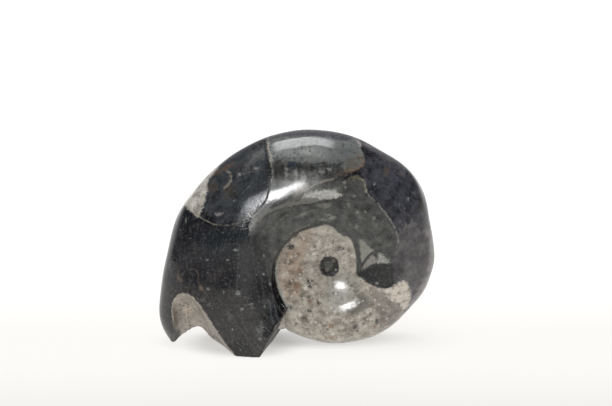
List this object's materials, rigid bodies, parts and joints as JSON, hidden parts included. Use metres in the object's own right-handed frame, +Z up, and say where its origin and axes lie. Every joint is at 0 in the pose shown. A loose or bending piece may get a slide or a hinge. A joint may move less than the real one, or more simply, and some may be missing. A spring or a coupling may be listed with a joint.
{
  "type": "fossil goniatite",
  "caption": "Polished black and grey fossil goniatite, a tightly coiled shell turned to stone, standing on its cut aperture and the foot of its lowest whorl.",
  "frame": {"origin": "middle of the bounding box's underside, on the surface that the stone stands on", "axes": "+X along the stone's length, from the open end of the last whorl towards the older whorls; +Y through the coil's axis, from the near flank to the far one; +Z up"},
  "size_m": [0.077, 0.0272, 0.0612],
  "materials": {
    "polished_fossil_stone": "polished"
  },
  "bodies": {
    "root": {"goniatite": "polished_fossil_stone"}
  },
  "joints": []
}
